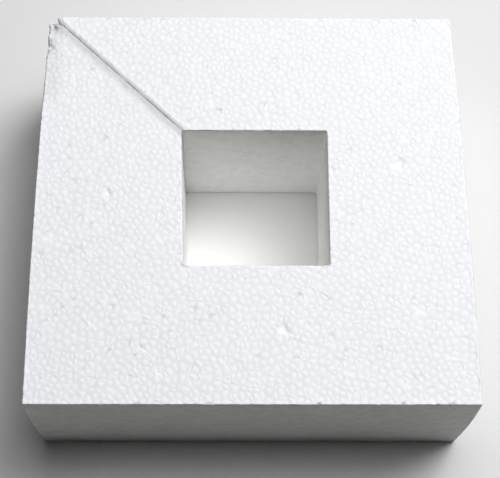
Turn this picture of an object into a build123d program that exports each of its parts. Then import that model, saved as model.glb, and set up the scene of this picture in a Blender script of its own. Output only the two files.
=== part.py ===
from build123d import *
import os

# A block of white expanded polystyrene with a square hole through its middle.
# It was cut by hand on a hot wire, so its sides are a little out of square and bowed.
# The wire went in at the back left corner, along a straight slit to the hole, and out again.
# Millimetres, +Z up. The origin is on the surface that the block stands on, and the front is -Y.

# Driving sizes of the block
block_height = 80.0
front_width = 221.0
back_width = 218.2
block_depth = 216.0
front_edge_slant = 0.5       # the left end of the front edge stands this much further back
side_bow = 1.0               # how far the left and right sides swell between their ends
front_corner_radius = 1.0
back_right_corner_radius = 2.4
rim_rounding = 0.7           # the soft edge that a hot wire leaves round the top and bottom faces

# Driving sizes of the hole
hole_front_width = 73.4
hole_back_width = 76.1
hole_length = 75.3           # from the hole's front wall to its back wall
right_arm_width = 71.2       # foam between the hole's back right corner and the right side
front_arm_width = 71.8       # foam between the hole and the front side
hole_right_lean = 0.6        # the hole's right wall stands this much further left at its front
hole_corner_radius = 0.8

# Driving sizes of the slit
slit_width = 0.4
slit_exit_distance = 1.6     # from the back left corner to the slit, along the back edge
mouth_length = 9.0           # the slit's open end is torn wider, mostly on its left
mouth_left_width = 2.0       # from the slit's middle line to each side of its open end
mouth_right_width = 1.1
mouth_left_radius = 1.5
mouth_right_radius = 1.2
arm_tip_loss = 3.0           # how far the tip of the left arm is crumbled back
arm_tip_radius = 2.0
left_lip_width = 3.6         # the wire melted both lips of the slit, and they sink towards it
right_lip_width = 2.6
lip_depth = 0.8


def plan_corners():
    """The block's four corners before wear, seen from above, by name."""
    front_y = -block_depth / 2
    back_y = block_depth / 2
    return {
        "front_left": Vector(-front_width / 2, front_y + front_edge_slant),
        "front_right": Vector(front_width / 2, front_y),
        "back_right": Vector(back_width / 2, back_y),
        "back_left": Vector(-back_width / 2, back_y),
    }


def hole_corners():
    """The hole's four corners. Its front and back walls are parallel, and its side walls lean."""
    middle_width = (front_width + back_width) / 2
    right_x = middle_width / 2 + side_bow - right_arm_width
    front_y = -block_depth / 2 + front_arm_width
    back_y = front_y + hole_length
    front_right_x = right_x - hole_right_lean
    return {
        "front_left": Vector(front_right_x - hole_front_width, front_y),
        "front_right": Vector(front_right_x, front_y),
        "back_right": Vector(right_x, back_y),
        "back_left": Vector(right_x - hole_back_width, back_y),
    }


def slit_line():
    """Where the slit leaves the hole, where it leaves the block, and its two directions."""
    start = hole_corners()["back_left"]
    end = plan_corners()["back_left"] + Vector(slit_exit_distance, 0)
    along = (end - start).normalized()
    to_left = Vector(-along.Y, along.X)
    return start, end, along, to_left


def bowed_middle(first, last, bow):
    """The middle of a side that swells outwards by bow, for a side walked anticlockwise."""
    run = last - first
    outwards = Vector(run.Y, -run.X).normalized()
    return (first + last) * 0.5 + outwards * bow


def meet(point, direction, height_y):
    """Where a line through point along direction reaches height_y."""
    return point + direction * ((height_y - point.Y) / direction.Y)


def block_outline():
    """One closed outline: round the block, in along the slit, round the hole and out again."""
    block = plan_corners()
    hole = hole_corners()
    start, end, along, to_left = slit_line()
    half_slit = slit_width / 2
    mouth_start = end - along * mouth_length
    back_y = block["back_left"].Y
    tip_y = back_y - arm_tip_loss

    # The slit's two walls reach the hole's back wall and its left wall
    right_wall_at_hole = meet(start - to_left * half_slit, along, start.Y)
    left_wall_at_hole = start + to_left * half_slit
    hole_left_run = (hole["back_left"] - hole["front_left"]).normalized()
    across = left_wall_at_hole - start
    slide = -across.X * hole_left_run.Y + across.Y * hole_left_run.X
    slide /= along.X * hole_left_run.Y - along.Y * hole_left_run.X
    left_wall_at_hole += along * slide

    # The mouth flares from the slit's width to its own on each side
    right_flare = (end - to_left * mouth_right_width) - (mouth_start - to_left * half_slit)
    left_flare = (end + to_left * mouth_left_width) - (mouth_start + to_left * half_slit)
    right_mouth = meet(mouth_start - to_left * half_slit, right_flare, back_y)
    left_mouth = meet(mouth_start + to_left * half_slit, left_flare, tip_y)

    # The left side ends early, at the crumbled tip
    left_run = block["front_left"] - block["back_left"]
    tip_corner = meet(block["back_left"], left_run, tip_y)

    with BuildSketch() as sketch:
        with BuildLine():
            Line(block["front_left"], block["front_right"])
            right_middle = bowed_middle(block["front_right"], block["back_right"], side_bow)
            ThreePointArc(block["front_right"], right_middle, block["back_right"])
            Polyline(
                block["back_right"],
                right_mouth,
                mouth_start - to_left * half_slit,
                right_wall_at_hole,
                hole["back_right"],
                hole["front_right"],
                hole["front_left"],
                left_wall_at_hole,
                mouth_start + to_left * half_slit,
                left_mouth,
                tip_corner,
            )
            left_middle = bowed_middle(tip_corner, block["front_left"], side_bow)
            ThreePointArc(tip_corner, left_middle, block["front_left"])
        make_face()
        rounded = [
            (block["front_left"], front_corner_radius),
            (block["front_right"], front_corner_radius),
            (block["back_right"], back_right_corner_radius),
            (hole["back_right"], hole_corner_radius),
            (hole["front_right"], hole_corner_radius),
            (hole["front_left"], hole_corner_radius),
            (right_mouth, mouth_right_radius),
            (left_mouth, mouth_left_radius),
            (tip_corner, arm_tip_radius),
        ]
        for corner, radius in rounded:
            fillet(sketch.vertices().sort_by_distance(corner)[0], radius)
    return sketch.sketch


def slit_lips():
    """A shallow trough along the top of the slit, with a lip that curves down on each side of it."""
    start, end, along, to_left = slit_line()
    half_slit = slit_width / 2
    overrun = 2 * left_lip_width
    section_plane = Plane(
        origin=start - along * overrun + Vector(0, 0, block_height),
        x_dir=to_left,
        z_dir=along,
    )
    left_end = (half_slit + left_lip_width, 0)
    left_bottom = (half_slit, -lip_depth)
    right_bottom = (-half_slit, -lip_depth)
    right_end = (-half_slit - right_lip_width, 0)
    with BuildSketch(section_plane) as section:
        with BuildLine():
            TangentArc(left_end, left_bottom, tangent=(-1, 0))
            Line(left_bottom, right_bottom)
            TangentArc(right_end, right_bottom, tangent=(1, 0))
            Line(right_end, left_end)
        make_face()
    length = (end - start).length + 2 * overrun
    return extrude(section.sketch, amount=length, dir=along)


def foam_block():
    """The block: its outline drawn up to its height, rims softened, lips melted along the slit."""
    body = extrude(block_outline(), amount=block_height)
    rims = body.edges().group_by(Axis.Z)[0] + body.edges().group_by(Axis.Z)[-1]
    body = fillet(rims, rim_rounding)
    return body - slit_lips()


os.makedirs("parts", exist_ok=True)
block = foam_block()
block.label = "foam_block"
export_step(block, "parts/foam_block.step")
print("volume in litres:", round(block.volume / 1e6, 4))
print("weight at 25 kg per cubic metre:", round(block.volume * 1e-9 * 25, 4), "kg")
print("hole corners:", {name: (round(c.X, 2), round(c.Y, 2)) for name, c in hole_corners().items()})
print("box:", block.bounding_box())
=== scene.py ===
"""A block of white expanded polystyrene with a square hole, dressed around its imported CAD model."""

import math

import bmesh
import bpy
import numpy as np
from mathutils import Euler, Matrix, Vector, kdtree
from mathutils.geometry import delaunay_2d_cdt


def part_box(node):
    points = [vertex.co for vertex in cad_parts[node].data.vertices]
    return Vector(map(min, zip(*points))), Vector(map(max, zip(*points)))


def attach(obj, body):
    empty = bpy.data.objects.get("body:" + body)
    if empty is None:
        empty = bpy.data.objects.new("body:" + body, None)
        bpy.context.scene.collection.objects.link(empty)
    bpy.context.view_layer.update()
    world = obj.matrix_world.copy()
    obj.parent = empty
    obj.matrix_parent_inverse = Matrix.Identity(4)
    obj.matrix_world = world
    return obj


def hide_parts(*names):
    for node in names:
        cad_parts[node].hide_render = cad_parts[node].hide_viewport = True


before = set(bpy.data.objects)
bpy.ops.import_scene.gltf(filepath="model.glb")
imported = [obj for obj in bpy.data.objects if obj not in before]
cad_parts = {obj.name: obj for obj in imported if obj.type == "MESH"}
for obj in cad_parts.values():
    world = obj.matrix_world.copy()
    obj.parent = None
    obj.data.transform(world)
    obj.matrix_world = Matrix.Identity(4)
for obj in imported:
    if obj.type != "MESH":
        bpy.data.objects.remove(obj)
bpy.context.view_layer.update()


# The view
# The camera looks steeply down from in front of the block, a little left of its middle.
# It was solved on the block's own corners, with the lens centred on the picture.
camera_data = bpy.data.cameras.new("camera")
camera_data.sensor_width = 36.0
camera_data.lens = 87.85
camera_data.clip_start = 0.01
camera_data.clip_end = 20.0
camera = bpy.data.objects.new("camera", camera_data)
camera.location = (-0.01299, -0.25221, 0.65105)
camera.rotation_mode = "YXZ"
camera.rotation_euler = Euler(
    (math.radians(21.941), math.radians(-1.151), math.radians(0.101)), "YXZ"
)
bpy.context.scene.collection.objects.link(camera)
bpy.context.scene.camera = camera


# The floor
# A plain pale table top that the block stands on. The camera sees it paler than the light that it
# throws back on the block's sides. Under the hole a paler patch is painted light, which brightens the
# hole.
floor_half_width = 3.0
floor_bounce = (0.53, 0.53, 0.52, 1.0)
floor_seen = (0.80, 0.80, 0.80, 1.0)
# Painted light: the floor under the hole is paler, to light the hole's floor and walls more
floor_painted_hole_light = (0.95, 0.95, 0.93, 1.0)
painted_light_radius = 0.08
floor_roughness = 0.7


def node_tools(tree):
    """Two short ways to add to a node tree: any node with its inputs, and one step of maths."""

    def node(kind, *inputs, **settings):
        made = tree.nodes.new(kind)
        for name, value in settings.items():
            setattr(made, name, value)
        for place, value in inputs:
            if isinstance(value, bpy.types.NodeSocket):
                tree.links.new(value, made.inputs[place])
            else:
                made.inputs[place].default_value = value
        return made

    def maths(operation, first, second=0.0, third=0.0):
        inputs = ((0, first), (1, second), (2, third))
        return node("ShaderNodeMath", *inputs, operation=operation).outputs[0]

    return node, maths


def floor_finish():
    """The floor's paint: three tones, two chosen by the kind of ray, and painted light under the
    hole.
    """
    paint = bpy.data.materials.new("pale_floor")
    paint.use_nodes = True
    shader = paint.node_tree.nodes["Principled BSDF"]
    shader.inputs["Roughness"].default_value = floor_roughness
    node, maths = node_tools(paint.node_tree)
    ray = node("ShaderNodeLightPath").outputs
    seen = maths("MAXIMUM", ray["Is Camera Ray"], ray["Is Glossy Ray"])
    seen = maths("MAXIMUM", seen, ray["Is Transmission Ray"])
    open_floor = node(
        "ShaderNodeMix", (0, seen), (6, floor_bounce), (7, floor_seen), data_type="RGBA"
    )
    place = node("ShaderNodeTexCoord").outputs["Object"]
    from_middle = node("ShaderNodeVectorMath", (0, place), operation="LENGTH").outputs["Value"]
    # The painted light under the hole
    painted_light_patch = maths("LESS_THAN", from_middle, painted_light_radius)
    colour = node(
        "ShaderNodeMix",
        (0, painted_light_patch),
        (6, open_floor.outputs[2]),
        (7, floor_painted_hole_light),
        data_type="RGBA",
    )
    paint.node_tree.links.new(colour.outputs[2], shader.inputs["Base Color"])
    return paint


floor_mesh = bpy.data.meshes.new("floor")
floor_corners = [
    (-floor_half_width, -floor_half_width, 0),
    (floor_half_width, -floor_half_width, 0),
    (floor_half_width, floor_half_width, 0),
    (-floor_half_width, floor_half_width, 0),
]
floor_mesh.from_pydata(floor_corners, [], [(0, 1, 2, 3)])
floor_mesh.materials.append(floor_finish())
floor = bpy.data.objects.new("floor", floor_mesh)
bpy.context.scene.collection.objects.link(floor)


# The foam block
# One piece of white expanded polystyrene, cut by hand on a hot wire from a board 80 mm thick.
# The board's faces keep the relief of their beads, and the walls that the wire melted are smoother.
# Its outline is the solid's own. Every bead that the surface cuts shows facets of its own.
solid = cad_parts["foam_block"]
block_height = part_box("foam_block")[1].z
millimetre = 0.001
# Corners of the solid this near to each other are one, and one this near to a plane is on it
same_place = 1e-6
on_plane = 1e-8
# The walls and faces are first divided into panels of about this size
panel = 7 * millimetre
outline_tolerance = 0.03 * millimetre
rim_rounding = 0.7 * millimetre
rim_steps = 3
# The slit's lips are melted and sink towards it, and they sprang back until they nearly meet
slit_inner_end = Vector((-0.0365, 0.0391))
slit_outer_end = Vector((-0.1075, 0.1080))
slit_half_width = 0.2 * millimetre
left_lip_width = 3.6 * millimetre
right_lip_width = 2.6 * millimetre
lip_depth = 0.45 * millimetre
lip_closing = 0.16 * millimetre
mouth_half_width = 2.1 * millimetre


def outline_at_half_height():
    """The solid's outline at half its height, in order, with the foam on the left of the way."""
    cut_solid = bmesh.new()
    cut_solid.from_mesh(solid.data)
    bmesh.ops.remove_doubles(cut_solid, verts=cut_solid.verts, dist=same_place)
    cut = bmesh.ops.bisect_plane(
        cut_solid,
        geom=cut_solid.verts[:] + cut_solid.edges[:] + cut_solid.faces[:],
        dist=on_plane,
        plane_co=(0, 0, block_height / 2),
        plane_no=(0, 0, 1),
    )["geom_cut"]
    cut_edges = {item for item in cut if isinstance(item, bmesh.types.BMEdge)}
    first_edge = min(cut_edges, key=lambda edge: edge.verts[0].co.x + edge.verts[0].co.y)
    start = first_edge.verts[0]
    previous = start
    here = first_edge.verts[1]
    points = [start.co.to_2d()]
    while here is not start:
        points.append(here.co.to_2d())
        onward = next(
            edge for edge in here.link_edges if edge in cut_edges and previous not in edge.verts
        )
        previous, here = here, onward.other_vert(here)
    cut_solid.free()
    area = sum(a.cross(b) for a, b in zip(points, points[1:] + points[:1]))
    return points if area > 0 else points[::-1]


def without_straight_points(points, tolerance):
    """The outline without the points that lie within the tolerance of the line past them."""
    runs = [(points[i] - points[i - 1]).length for i in range(len(points))]
    first = runs.index(max(runs))
    points = points[first:] + points[:first]
    kept = [points[0]]
    passed = []
    for point, after in zip(points[1:], points[2:] + points[:1]):
        passed.append(point)
        run = (after - kept[-1]).normalized()
        if any(abs(run.cross(spot - kept[-1])) > tolerance for spot in passed):
            kept.append(point)
            passed = []
    return kept


def with_short_runs(points, longest):
    """The outline with its long runs divided evenly."""
    divided = []
    for point, following in zip(points, points[1:] + points[:1]):
        parts = max(1, math.ceil((following - point).length / longest))
        divided += [point.lerp(following, step / parts) for step in range(parts)]
    return divided


def place_by_slit(spot):
    """How far a spot is along the slit, from the hole outwards, and how far to its left."""
    along = (slit_outer_end - slit_inner_end).normalized()
    offset = spot - slit_inner_end
    return offset.dot(along), along.cross(offset)


# A run of the outline belongs to a lip while it strays sideways by less than this share of its length
most_lip_straying = 0.35
lip_overrun = 1 * millimetre


def rim_kind(first, second):
    """Which rim a run of the outline has: the slit's left or right lip, or the plain soft rim."""
    start_along, start_left = place_by_slit(first)
    end_along, end_left = place_by_slit(second)
    strays = abs(end_left - start_left) > most_lip_straying * abs(end_along - start_along)
    outside = min(start_along, end_along) < -lip_overrun
    if strays or outside or max(abs(start_left), abs(end_left)) > mouth_half_width:
        return "plain"
    return "left lip" if start_left > 0 else "right lip"


def rim_profile(kind, from_slit):
    """Steps from the wall to the face: how far in, and how far below the face."""
    shares = [step / rim_steps for step in range(rim_steps + 1)]
    if kind == "plain":
        turns = [math.radians(90 * share) for share in shares]
        return [
            (rim_rounding * (1 - math.cos(turn)), rim_rounding * (1 - math.sin(turn)))
            for turn in turns
        ]
    lip_width = left_lip_width if kind == "left lip" else right_lip_width
    lip_radius = (lip_width**2 + lip_depth**2) / (2 * lip_depth)
    lip_left = lip_width + slit_half_width - from_slit
    steps = []
    for share in shares:
        to_face = lip_left * (1 - share)
        inset = (lip_left + lip_closing) * share - lip_closing
        steps.append((inset, lip_radius - math.sqrt(lip_radius**2 - to_face**2)))
    return steps


# Where the outline turns by less than this sine, its rim isn't mitred, but steps straight in
least_mitred_turn = 0.6


def stepped_in(before, point, after, inset_before, inset_after):
    """Where a corner of the outline goes when its two runs move in by their own insets."""
    run_in = (point - before).normalized()
    run_out = (after - point).normalized()
    inwards_in = Vector((-run_in.y, run_in.x))
    inwards_out = Vector((-run_out.y, run_out.x))
    turn = run_in.cross(run_out)
    if abs(turn) < least_mitred_turn:
        inwards = (inwards_in + inwards_out).normalized()
        return point + inwards * (inset_before + inset_after) / 2
    return point + (run_out * inset_before - run_in * inset_after) / turn


def inside_outline(spots, outline):
    """Which spots lie inside a closed outline."""
    x = spots[:, 0:1]
    y = spots[:, 1:2]
    first = outline
    second = np.roll(outline, -1, 0)
    straddles = (first[:, 1] > y) != (second[:, 1] > y)
    rise = np.where(straddles, second[:, 1] - first[:, 1], 1.0)
    crossing = first[:, 0] + (y - first[:, 1]) / rise * (second[:, 0] - first[:, 0])
    return (straddles & (crossing > x)).sum(1) % 2 == 1


ring_clearance = 0.45 * panel
# The triangulation's own settings: keep only what lies inside the ring, and join nearly equal points
keep_inside = 1
join_within = 1e-7


def fill_face(blank, ring, upwards):
    """Fills the top or the underside inside its ring with triangles of even size."""
    outline = np.array([vert.co.xy for vert in ring])
    level = ring[0].co.z
    low = outline.min(0)
    high = outline.max(0)
    x, y = np.meshgrid(
        np.arange(low[0] + panel / 2, high[0], panel),
        np.arange(low[1] + panel / 2, high[1], panel),
    )
    spots = np.stack([x.ravel(), y.ravel()], 1)
    spots = spots[inside_outline(spots, outline)]
    gaps = np.linalg.norm(spots[:, None] - outline[None], axis=2).min(1)
    spots = spots[gaps > ring_clearance]
    points = [Vector(spot) for spot in np.concatenate([outline, spots])]
    around = list(range(len(ring)))
    filled = delaunay_2d_cdt(points, [], [around], keep_inside, join_within)
    verts = []
    for place, sources in zip(filled[0], filled[3]):
        on_ring = [source for source in sources if source < len(ring)]
        verts.append(ring[on_ring[0]] if on_ring else blank.verts.new((*place, level)))
    for face in filled[2]:
        corners = [verts[index] for index in face]
        blank.faces.new(corners if upwards else corners[::-1])


def block_blank():
    """The block before its beads: rings of points from the underside up, and two flat faces."""
    points = without_straight_points(outline_at_half_height(), outline_tolerance)
    points = with_short_runs(points, panel)
    count = len(points)
    kinds = [rim_kind(points[i], points[(i + 1) % count]) for i in range(count)]

    def moved_in(i, inset_before, inset_after):
        following = points[(i + 1) % count]
        return stepped_in(points[i - 1], points[i], following, inset_before, inset_after)

    rings = []
    for inset, drop in reversed(rim_profile("plain", 0)):
        ring = []
        for i in range(count):
            spot = moved_in(i, inset, inset)
            ring.append((spot.x, spot.y, drop))
        rings.append(ring)
    tops = []
    for step in range(rim_steps + 1):
        ring = []
        for i in range(count):
            from_slit = abs(place_by_slit(points[i])[1])
            inset_before, drop_before = rim_profile(kinds[i - 1], from_slit)[step]
            inset_after, drop_after = rim_profile(kinds[i], from_slit)[step]
            spot = moved_in(i, inset_before, inset_after)
            ring.append((spot.x, spot.y, block_height - (drop_before + drop_after) / 2))
        tops.append(ring)
    wall_parts = math.ceil(block_height / panel)
    for part in range(1, wall_parts):
        share = part / wall_parts
        ring = []
        for low, high in zip(rings[rim_steps], tops[0]):
            ring.append(tuple(a + (b - a) * share for a, b in zip(low, high)))
        rings.append(ring)
    rings += tops
    blank = bmesh.new()
    made = [[blank.verts.new(spot) for spot in ring] for ring in rings]
    for low, high in zip(made, made[1:]):
        for i in range(count):
            j = (i + 1) % count
            blank.faces.new((low[i], low[j], high[j], high[i]))
    fill_face(blank, made[-1], upwards=True)
    fill_face(blank, made[0], upwards=False)
    bmesh.ops.triangulate(blank, faces=[face for face in blank.faces if len(face.verts) > 3])
    blank.normal_update()
    return blank


bead_volume = 52 * millimetre**3
bead_seed = 11
# How far from the surface a bead's centre can lie while the bead still shows
bead_reach = 6 * millimetre
# Beads nearer to each other than the rest distance are pushed apart in rounds, each time by a share
# of what they lack
evening_rounds = 6
evening_neighbours = 12
rest_distance = 1.12 * bead_volume ** (1 / 3)
push_share = 0.22


def kd_tree(points):
    """A search tree over an array of points."""
    tree = kdtree.KDTree(len(points))
    for index, point in enumerate(points):
        tree.insert(point, index)
    tree.balance()
    return tree


def nearest(points, wanted):
    """For each point, the indices of its nearest others and how far they are."""
    tree = kd_tree(points)
    indices = np.empty((len(points), wanted), int)
    distances = np.empty((len(points), wanted))
    for row, point in enumerate(points):
        found = tree.find_n(point, wanted + 1)[1:]
        indices[row] = [hit[1] for hit in found]
        distances[row] = [hit[2] for hit in found]
    return indices, distances


def bead_centres(surface):
    """Centres of closely packed beads near the surface: scattered, then evened out."""
    rng = np.random.default_rng(bead_seed)
    low = surface.min(0) - bead_reach
    high = surface.max(0) + bead_reach
    count = int(np.prod(high - low) / bead_volume)
    centres = low + rng.random((count, 3)) * (high - low)
    tree = kd_tree(surface)
    near = np.array([tree.find(centre)[2] < bead_reach + panel / 2 for centre in centres])
    centres = centres[near]
    for _ in range(evening_rounds):
        indices, distances = nearest(centres, evening_neighbours)
        away = (centres[:, None] - centres[indices]) / distances[..., None]
        push = np.clip(rest_distance - distances, 0, None)[..., None]
        centres = centres + push_share * (away * push).sum(1)
    return centres


def pieces_with_beads(triangles, centres):
    """Which bead may show in which triangle, as pairs of indices."""
    tree = kd_tree(centres)
    middles = triangles.mean(1)
    radii = np.linalg.norm(triangles - middles[:, None], axis=2).max(1)
    pieces = []
    beads = []
    for index, (middle, radius) in enumerate(zip(middles, radii)):
        nearest_distance = tree.find(middle)[2]
        found = [hit[1] for hit in tree.find_range(middle, nearest_distance + 2 * radius)]
        pieces += [index] * len(found)
        beads += found
    return np.array(pieces), np.array(beads), middles, radii


def real_corners(counts, most):
    """Which of the corner slots of each polygon hold a corner."""
    return np.arange(most)[None] < counts[:, None]


def cut_by_plane(corners, counts, distances):
    """Convex polygons cut by a plane each: the parts where the distances are negative."""
    rows, most, _ = corners.shape
    slots = np.arange(most)
    real = real_corners(counts, most)
    following = np.where(slots[None] + 1 < counts[:, None], slots[None] + 1, 0)
    next_corners = np.take_along_axis(corners, following[..., None], 1)
    next_distances = np.take_along_axis(distances, following, 1)
    inside = (distances <= 0) & real
    next_inside = next_distances <= 0
    crossing = (inside != next_inside) & real
    gap = np.where(crossing, distances - next_distances, 1.0)
    share = np.where(crossing, distances / gap, 0.0)
    crossings = corners + share[..., None] * (next_corners - corners)
    out = np.empty((rows, 2 * most, 3))
    out[:, 0::2] = corners
    out[:, 1::2] = crossings
    valid = np.empty((rows, 2 * most), bool)
    valid[:, 0::2] = inside
    valid[:, 1::2] = crossing
    order = np.argsort(~valid, axis=1, kind="stable")[:, :most]
    return np.take_along_axis(out, order[..., None], 1), valid.sum(1)


# A bead's own share of a triangle is cut out by its neighbours, nearest first. The first few only
# sort out the triangles that the bead can't reach.
sorting_neighbours = 12
cutting_neighbours = 48
most_corners = 18


def cut_into_beads(triangles, centres):
    """Each triangle divided among its beads: the parts' corners, corner counts and beads."""
    neighbours, neighbour_distances = nearest(centres, cutting_neighbours)
    pieces, beads, middles, radii = pieces_with_beads(triangles, centres)

    def plane_to_neighbour(beads, column):
        """Halfway to a neighbour of each bead: a point on the plane, and the way across it."""
        others = neighbours[beads, column]
        across = (centres[others] - centres[beads]) / neighbour_distances[beads, column][:, None]
        return (centres[others] + centres[beads]) / 2, across

    for column in range(sorting_neighbours):
        on_plane_between, across = plane_to_neighbour(beads, column)
        beyond = ((middles[pieces] - on_plane_between) * across).sum(1)
        keep = beyond <= radii[pieces]
        pieces = pieces[keep]
        beads = beads[keep]
    corners = np.zeros((len(pieces), most_corners, 3))
    corners[:, :3] = triangles[pieces]
    counts = np.full(len(pieces), 3)
    finished = []
    for column in range(cutting_neighbours):
        on_plane_between, across = plane_to_neighbour(beads, column)
        distances = ((corners - on_plane_between[:, None]) * across[:, None]).sum(2)
        real = real_corners(counts, most_corners)
        outside = ((distances > 0) | ~real).all(1)
        cut = (distances > 0) & real
        crossed = cut.any(1) & ~outside
        cut_corners, cut_counts = cut_by_plane(
            corners[crossed], counts[crossed], distances[crossed]
        )
        corners[crossed] = cut_corners
        counts[crossed] = cut_counts
        reach = np.linalg.norm(corners - centres[beads][:, None], axis=2)
        reach = np.where(real_corners(counts, most_corners), reach, 0).max(1)
        last_column = column == cutting_neighbours - 1
        done = (neighbour_distances[beads, column] > 2 * reach) | last_column
        done &= ~outside
        finished.append((corners[done], counts[done], beads[done]))
        keep = ~outside & ~done
        corners = corners[keep]
        counts = counts[keep]
        beads = beads[keep]
    return [np.concatenate(part) for part in zip(*finished)]


merge_distance = 0.04 * millimetre
# Two facets whose normals agree at least this well lie flat to each other
flat_enough = 0.999
most_gap_sides = 8


def joined_cells(corners, counts, beads):
    """One closed mesh of bead facets: doubles merged, and seams inside a bead's facet removed."""
    mesh = bpy.data.meshes.new("bead_cells")
    points = corners[real_corners(counts, most_corners)]
    ends = np.cumsum(counts)
    faces = [list(range(end - count, end)) for end, count in zip(ends, counts)]
    mesh.from_pydata(points.tolist(), [], faces)
    mesh.attributes.new("bead", "INT", "FACE").data.foreach_set("value", beads.astype(np.int32))
    cells = bmesh.new()
    cells.from_mesh(mesh)
    bpy.data.meshes.remove(mesh)
    bmesh.ops.remove_doubles(cells, verts=cells.verts, dist=merge_distance)
    cells.normal_update()
    bead_of = cells.faces.layers.int["bead"]
    seams = []
    for edge in cells.edges:
        if len(edge.link_faces) == 2:
            one, other = edge.link_faces
            if one[bead_of] == other[bead_of] and one.normal.dot(other.normal) > flat_enough:
                seams.append(edge)
    bmesh.ops.dissolve_edges(cells, edges=seams, use_verts=True, use_face_split=False)
    gaps = [edge for edge in cells.edges if edge.is_boundary]
    bmesh.ops.holes_fill(cells, edges=gaps, sides=most_gap_sides)
    cells.normal_update()
    return cells, bead_of


shortest_scallop = 1.2 * millimetre


def add_edge_bumps(cells, bead_of):
    """Gives each bead on a rim a point of its own in the middle, so that the rims are scalloped."""
    folds = []
    for edge in cells.edges:
        if len(edge.link_faces) == 2 and edge.calc_length() > shortest_scallop:
            one, other = edge.link_faces
            if one[bead_of] == other[bead_of] and one.normal.dot(other.normal) < flat_enough:
                folds.append(edge)
    for edge in folds:
        bmesh.utils.edge_split(edge, edge.verts[0], 0.5)


def eased(value, start, end):
    """From 0 at the start to 1 at the end, smoothly."""
    share = min(max((value - start) / (end - start), 0.0), 1.0)
    return share * share * (3 - 2 * share)


# The hot wire lagged, so the left and right walls swell at half height
side_walls_beyond = 0.105
bulge = 1.2 * millimetre
# The top's left edge is rubbed down near the back corner, where the edge leans in
left_edge_x = -0.1109
left_edge_lean = 0.0008
lean_start = 0.05
lean_end = 0.108
worn_strip_inner_x = -0.09
worn_strip_below_top = 2 * millimetre
worn_strip_width = 10 * millimetre
worn_strip_drop = 1.7 * millimetre
worn_strip_start = 0.048
worn_strip_full = 0.064
worn_strip_roundness = 1.3
worn_past_edge = 1.2


def shape_cells(cells):
    """Swells the side walls and rubs down the top's left edge near the back."""
    for vert in cells.verts:
        x, y, z = vert.co
        if abs(x) > side_walls_beyond:
            level = 2 * z / block_height - 1
            vert.co.x += math.copysign(bulge * (1 - level * level), x)
        by_left_edge = x < worn_strip_inner_x and y > worn_strip_start
        if by_left_edge and z > block_height - worn_strip_below_top:
            edge_x = left_edge_x + left_edge_lean * eased(y, lean_start, lean_end)
            depth = 1 - (x - edge_x) / worn_strip_width
            if 0 < depth <= worn_past_edge:
                amount = eased(y, worn_strip_start, worn_strip_full)
                vert.co.z -= worn_strip_drop * min(depth, 1) ** worn_strip_roundness * amount


slit_wall_reach = 1.6 * slit_half_width


def in_slit(place):
    """Whether a place lies between the slit's two walls."""
    run, left = place_by_slit(place.to_2d())
    return run > -lip_overrun and abs(left) < slit_wall_reach


# The lips are wholly melted within the first share of their width, and no more past the second
wholly_melted = 0.4
melted_no_more = 1.15
melt_overrun = 2 * millimetre
melt_below_top = 1.5 * millimetre


def melted(place):
    """How far the wire has melted the top at a place beside the slit, from 0 to 1."""
    run, left = place_by_slit(place.to_2d())
    if run < -melt_overrun or place.z < block_height - melt_below_top:
        return 0.0
    reach = left_lip_width if left > 0 else right_lip_width
    return 1 - eased(abs(left), wholly_melted * reach, melted_no_more * reach)


# A facet's zone goes by how far its normal points up or down, and a wall's by its place
top_facing = 0.93
underside_facing = -0.999
rim_facing = 0.2
hole_within = 0.05


def face_zone(face):
    """Which part of the block a facet belongs to."""
    if face.normal.z > top_facing:
        return "top"
    if face.normal.z < underside_facing:
        return "underside"
    if abs(face.normal.z) > rim_facing:
        return "rim"
    middle = face.calc_center_median()
    if in_slit(middle):
        return "slit"
    if max(abs(middle.x), abs(middle.y)) < hole_within:
        return "hole"
    return "outside"


relief_of_zone = {
    "top": 1.0,
    "underside": 0.5,
    "rim": 1.0,
    "slit": 0.0,
    "hole": 0.22,
    "outside": 0.40,
}
cut_zones = ("outside", "hole", "slit")
melt_flattening = 0.85
# Only the top's facets are raised, and of these only wide ones that aren't melted
least_raised_area = 0.8 * millimetre**2
most_raised_melt = 0.5
# Where a bead has come off: pits in the top, and nicks in the hole's right rim and the left edge
lost_bead_depth = 1.1 * millimetre
lost_bead_below_top = 3 * millimetre
out_of_reach = 1.0
lost_beads = [
    (-0.0725, 0.0036),
    (0.0173, -0.0712),
    (0.0770, 0.0188),
    (0.0402, 0.0175),
    (-0.1098, 0.0885),
    (-0.1090, 0.0850),
    (-0.1104, 0.0985),
    (-0.1080, 0.1020),
    (-0.1060, 0.1035),
    (-0.1102, 0.0930),
]


def depth_of_lost_beads(cells, bead_of):
    """How far each facet has sunk because its bead has come off."""
    middles = np.array([face.calc_center_median() for face in cells.faces])
    lost = np.zeros(len(middles))
    for spot in lost_beads:
        near = np.linalg.norm(middles[:, :2] - np.array(spot), axis=1)
        near[middles[:, 2] < block_height - lost_bead_below_top] = out_of_reach
        bead = cells.faces[int(near.argmin())][bead_of]
        for index, face in enumerate(cells.faces):
            if face[bead_of] == bead:
                lost[index] = lost_bead_depth
    return lost


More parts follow.
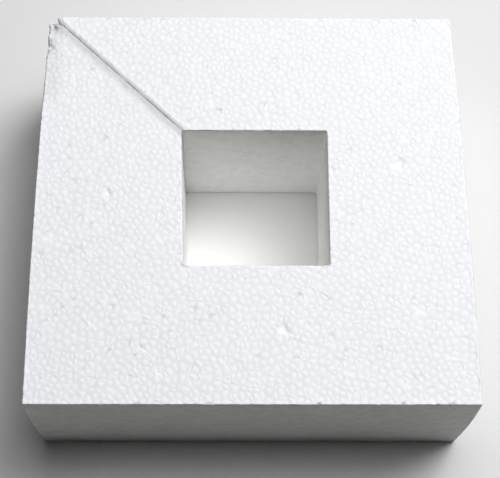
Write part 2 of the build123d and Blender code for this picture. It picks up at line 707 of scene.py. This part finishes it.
def bead_mesh(cells, bead_of):
    """The plain mesh of bead facets, with the attributes that the relief and the finish read."""
    mesh = bpy.data.meshes.new("foam_block_beads")
    cells.faces.ensure_lookup_table()
    relief = []
    raised = []
    wire_cut = []
    for face in cells.faces:
        zone = face_zone(face)
        soft = melted(face.calc_center_median())
        relief.append(relief_of_zone[zone] * (1 - melt_flattening * soft))
        wide = face.calc_area() > least_raised_area
        raised.append(zone == "top" and wide and soft < most_raised_melt)
        wire_cut.append(1.0 if zone in cut_zones else 0.0)
    lost = depth_of_lost_beads(cells, bead_of)
    # 0 inside a bead, a half where two beads meet, and 1 where three or more do
    seam = []
    for vert in cells.verts:
        beads_here = len({face[bead_of] for face in vert.link_faces})
        seam.append(float(min(beads_here, 3) - 1) / 2)
    melt = [melted(vert.co) for vert in cells.verts]
    cells.to_mesh(mesh)
    for name, kind, domain, values in (
        ("relief", "FLOAT", "FACE", relief),
        ("raised", "BOOLEAN", "FACE", raised),
        ("wire_cut", "FLOAT", "FACE", wire_cut),
        ("lost", "FLOAT", "FACE", lost),
        ("seam", "FLOAT", "POINT", seam),
        ("melt", "FLOAT", "POINT", melt),
    ):
        mesh.attributes.new(name, kind, domain).data.foreach_set("value", values)
    return mesh


def relief_tree():
    """Gives the beads their relief: facets shrunk off their seams, seams sunk, beads uneven."""
    tree = bpy.data.node_groups.new("bead_relief", "GeometryNodeTree")
    tree.is_modifier = True
    face = tree.interface
    face.new_socket("Geometry", in_out="INPUT", socket_type="NodeSocketGeometry")
    for name, kind in (
        ("Facet share", "NodeSocketFloat"),
        ("Seam depth", "NodeSocketFloat"),
        ("Pit depth", "NodeSocketFloat"),
        ("Bead unevenness", "NodeSocketFloat"),
        ("Wall waviness", "NodeSocketFloat"),
        ("Seed", "NodeSocketInt"),
        ("Finish", "NodeSocketMaterial"),
    ):
        face.new_socket(name, in_out="INPUT", socket_type=kind)
    face.new_socket("Geometry", in_out="OUTPUT", socket_type="NodeSocketGeometry")
    node, maths = node_tools(tree)
    given = node("NodeGroupInput").outputs

    def attribute(name, data_type):
        return node("GeometryNodeInputNamedAttribute", (0, name), data_type=data_type).outputs[0]

    def chance(low, high, identity, salt):
        seed = maths("ADD", given["Seed"], salt)
        inputs = ((2, low), (3, high), (7, identity), (8, seed))
        return node("FunctionNodeRandomValue", *inputs, data_type="FLOAT").outputs[1]

    def along_normal(distance):
        scaled = node("ShaderNodeVectorMath", (0, normal), operation="SCALE")
        tree.links.new(distance, scaled.inputs["Scale"])
        return scaled.outputs[0]

    def stored(geometry, name, value, domain):
        inputs = (("Geometry", geometry), ("Name", name), ("Value", value))
        kind = "GeometryNodeStoreNamedAttribute"
        return node(kind, *inputs, data_type="FLOAT", domain=domain).outputs[0]

    relief = attribute("relief", "FLOAT")
    seam = attribute("seam", "FLOAT")
    bead = attribute("bead", "INT")
    position = node("GeometryNodeInputPosition").outputs[0]
    normal = node("GeometryNodeInputNormal").outputs[0]
    # Each facet shrinks away from its seams, some more than others
    extrude = node(
        "GeometryNodeExtrudeMesh",
        ("Mesh", given["Geometry"]),
        ("Selection", attribute("raised", "BOOLEAN")),
        ("Offset Scale", 0.0),
        ("Individual", True),
        mode="FACES",
    )
    facet = extrude.outputs["Top"]
    share_change = chance(low=-0.06, high=0.04, identity=bead, salt=1)
    shrunk = node(
        "GeometryNodeScaleElements",
        ("Geometry", extrude.outputs["Mesh"]),
        ("Selection", facet),
        ("Scale", maths("ADD", given["Facet share"], share_change)),
        domain="FACE",
    )
    # The seams sink, most where three beads meet, and every bead has its own height
    two_beads_meet = maths("GREATER_THAN", seam, 0.25)
    three_beads_meet = maths("GREATER_THAN", seam, 0.75)
    here = node("GeometryNodeInputIndex").outputs[0]
    pit = maths("MULTIPLY", three_beads_meet, given["Pit depth"])
    pit = maths("MULTIPLY", pit, chance(low=0.0, high=1.0, identity=here, salt=2))
    sunk = maths("ADD", maths("MULTIPLY", two_beads_meet, given["Seam depth"]), pit)
    height_change = chance(low=0.0, high=2.0, identity=bead, salt=3)
    uneven = maths("MULTIPLY", given["Bead unevenness"], height_change)
    depth = node("GeometryNodeSwitch", (0, facet), (1, sunk), (2, uneven), input_type="FLOAT")
    lowered = maths("MULTIPLY", depth.outputs[0], relief)
    lowered = maths("ADD", lowered, attribute("lost", "FLOAT"))
    offset = along_normal(maths("MULTIPLY", lowered, -1.0))
    moved = node("GeometryNodeSetPosition", ("Geometry", shrunk.outputs[0]), ("Offset", offset))
    # The wire wavered as it cut the walls, in waves that are taller than they are wide
    waves_per_metre = (34.0, 34.0, 7.0)
    waves = node("ShaderNodeVectorMath", (0, position), (1, waves_per_metre), operation="MULTIPLY")
    noise = node(
        "ShaderNodeTexNoise", ("Vector", waves.outputs[0]), ("Scale", 1.0), ("Detail", 2.0)
    )
    waver = maths("MULTIPLY", maths("SUBTRACT", noise.outputs[0], 0.5), given["Wall waviness"])
    waver = maths("MULTIPLY", waver, attribute("wire_cut", "FLOAT"))
    sideways = along_normal(waver)
    wavy = node("GeometryNodeSetPosition", ("Geometry", moved.outputs[0]), ("Offset", sideways))
    # What the finish reads: how deep in a seam a point is, for its painted shade, and how pale its
    # bead
    open_seam = node("GeometryNodeSwitch", (0, facet), (1, seam), (2, 0.0), input_type="FLOAT")
    marked = stored(wavy.outputs[0], "seam", open_seam.outputs[0], domain="POINT")
    tone = chance(low=-1.0, high=1.0, identity=bead, salt=4)
    toned = stored(marked, "tone", tone, domain="FACE")
    smooth = node("GeometryNodeSetShadeSmooth", (0, toned), ("Shade Smooth", True))
    real = node("GeometryNodeRealizeInstances", (0, smooth.outputs[0]))
    painted = node("GeometryNodeSetMaterial", (0, real.outputs[0]), ("Material", given["Finish"]))
    node("NodeGroupOutput", (0, painted.outputs[0]))
    return tree


relief_sizes = {
    "Facet share": 0.46,
    "Seam depth": 0.26 * millimetre,
    "Pit depth": 0.14 * millimetre,
    "Bead unevenness": 0.06 * millimetre,
    "Wall waviness": 0.6 * millimetre,
    "Seed": 3,
}
# The bead faces are cool white, and the cut walls a little warmer
bead_white = (0.940, 0.948, 0.980, 1.0)
cut_white = (0.972, 0.970, 0.957, 1.0)
# How much each cause changes the shade, of which 1 is the plain white
bead_tone = 0.012
cut_wall_tone = 0.13
blotch_shade = 0.04
# Painted shade: the seams between beads are darker, and the cut walls lose most of it
seam_painted_shade = -0.09
seam_painted_shade_lost_on_cuts = 0.08
# Painted shade on the slit's melted lips, darkest beside the slit
slit_painted_shade = -0.27
# Blotches and grains for each metre
blotch_scale = 90.0
grain_scale = 2600.0
grain_height = 0.1 * millimetre
grain_strength = 0.35
foam_specular = 0.35
foam_roughness = 0.62
cut_smoothing = -0.10
grain_roughness = 0.10


def foam_finish():
    """Near-white foam of slightly uneven beads, painted shade in seams and by the slit, smoother
    where cut.
    """
    foam = bpy.data.materials.new("expanded_polystyrene")
    foam.use_nodes = True
    links = foam.node_tree.links
    shader = foam.node_tree.nodes["Principled BSDF"]
    shader.inputs["Specular IOR Level"].default_value = foam_specular
    node, maths = node_tools(foam.node_tree)

    def attribute(name):
        return node("ShaderNodeAttribute", attribute_name=name).outputs["Fac"]

    def noise(scale, detail):
        inputs = (("Vector", place), ("Scale", scale), ("Detail", detail))
        return node("ShaderNodeTexNoise", *inputs).outputs[0]

    place = node("ShaderNodeTexCoord").outputs["Object"]
    wire_cut = attribute("wire_cut")
    blotches = noise(blotch_scale, detail=3.0)
    grain = noise(grain_scale, detail=2.0)
    cut_relief = maths("MULTIPLY", wire_cut, attribute("relief"))
    tone_range = maths("MULTIPLY_ADD", cut_relief, cut_wall_tone, bead_tone)
    shade = maths("MULTIPLY_ADD", attribute("tone"), tone_range, 1.0)
    shade = maths("MULTIPLY_ADD", maths("SUBTRACT", blotches, 0.5), blotch_shade, shade)
    # The seams' painted shade
    seam_painted_shade_change = maths("MULTIPLY_ADD", wire_cut, seam_painted_shade_lost_on_cuts, seam_painted_shade)
    shade = maths("ADD", shade, maths("MULTIPLY", attribute("seam"), seam_painted_shade_change))
    # The painted shade beside the slit
    shade = maths("MULTIPLY_ADD", attribute("melt"), slit_painted_shade, shade)
    tint = node(
        "ShaderNodeMix", (0, wire_cut), (6, bead_white), (7, cut_white), data_type="RGBA"
    )
    colour = node("ShaderNodeVectorMath", (0, tint.outputs[2]), operation="SCALE")
    links.new(shade, colour.inputs["Scale"])
    links.new(colour.outputs[0], shader.inputs["Base Color"])
    roughness = maths("MULTIPLY_ADD", wire_cut, cut_smoothing, foam_roughness)
    roughness = maths("MULTIPLY_ADD", grain, grain_roughness, roughness)
    links.new(roughness, shader.inputs["Roughness"])
    grain_relief = (("Strength", grain_strength), ("Distance", grain_height), ("Height", grain))
    fine = node("ShaderNodeBump", *grain_relief)
    links.new(fine.outputs[0], shader.inputs["Normal"])
    return foam


blank = block_blank()
triangles = np.array([[vert.co for vert in face.verts] for face in blank.faces])
surface = np.concatenate([triangles.mean(1), np.array([vert.co for vert in blank.verts])])
blank.free()
centres = bead_centres(surface)
cells, bead_of = joined_cells(*cut_into_beads(triangles, centres))
add_edge_bumps(cells, bead_of)
shape_cells(cells)
facets = bpy.data.objects.new("bead_facets", bead_mesh(cells, bead_of))
cells.free()
bpy.context.scene.collection.objects.link(facets)
relief_inputs = {**relief_sizes, "Finish": foam_finish()}
relief = facets.modifiers.new("relief", "NODES")
relief.node_group = relief_tree()
for socket in relief.node_group.interface.items_tree:
    if socket.in_out == "INPUT" and socket.name in relief_inputs:
        relief[socket.identifier] = relief_inputs[socket.name]
evaluated = facets.evaluated_get(bpy.context.evaluated_depsgraph_get())
foam_mesh = bpy.data.meshes.new_from_object(evaluated)
foam_mesh.name = "foam_block_beads"
bpy.data.objects.remove(facets)
foam_block = bpy.data.objects.new("foam_block_beads", foam_mesh)
bpy.context.scene.collection.objects.link(foam_block)
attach(foam_block, "root")
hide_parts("foam_block")


# The light
# A large soft window to the right of the block and a little behind it, and a smaller soft lamp
# high above. Both face the middle of the block, and the world adds no light.
def soft_lamp(name, turn, height, distance, width, power):
    """A square lamp: its turn from the right side and its height over the floor are in degrees."""
    lamp_data = bpy.data.lights.new(name, "AREA")
    lamp_data.shape = "SQUARE"
    lamp_data.size = width
    lamp_data.energy = power
    lamp = bpy.data.objects.new(name, lamp_data)
    turn_angle = math.radians(turn)
    height_angle = math.radians(height)
    across = math.cos(height_angle)
    direction = Vector(
        (math.cos(turn_angle) * across, math.sin(turn_angle) * across, math.sin(height_angle))
    )
    lamp.location = Vector((0, 0, block_height / 2)) + direction * distance
    lamp.rotation_euler = direction.to_track_quat("Z", "Y").to_euler()
    bpy.context.scene.collection.objects.link(lamp)


soft_lamp("window", turn=38, height=54, distance=1.8, width=1.04, power=23.1)
soft_lamp("ceiling", turn=62, height=78, distance=1.1, width=0.7, power=5.6)
world = bpy.data.worlds.new("world")
bpy.context.scene.world = world
world.use_nodes = True
world.node_tree.nodes["Background"].inputs["Strength"].default_value = 0.0
bpy.context.scene.view_settings.view_transform = "Standard"
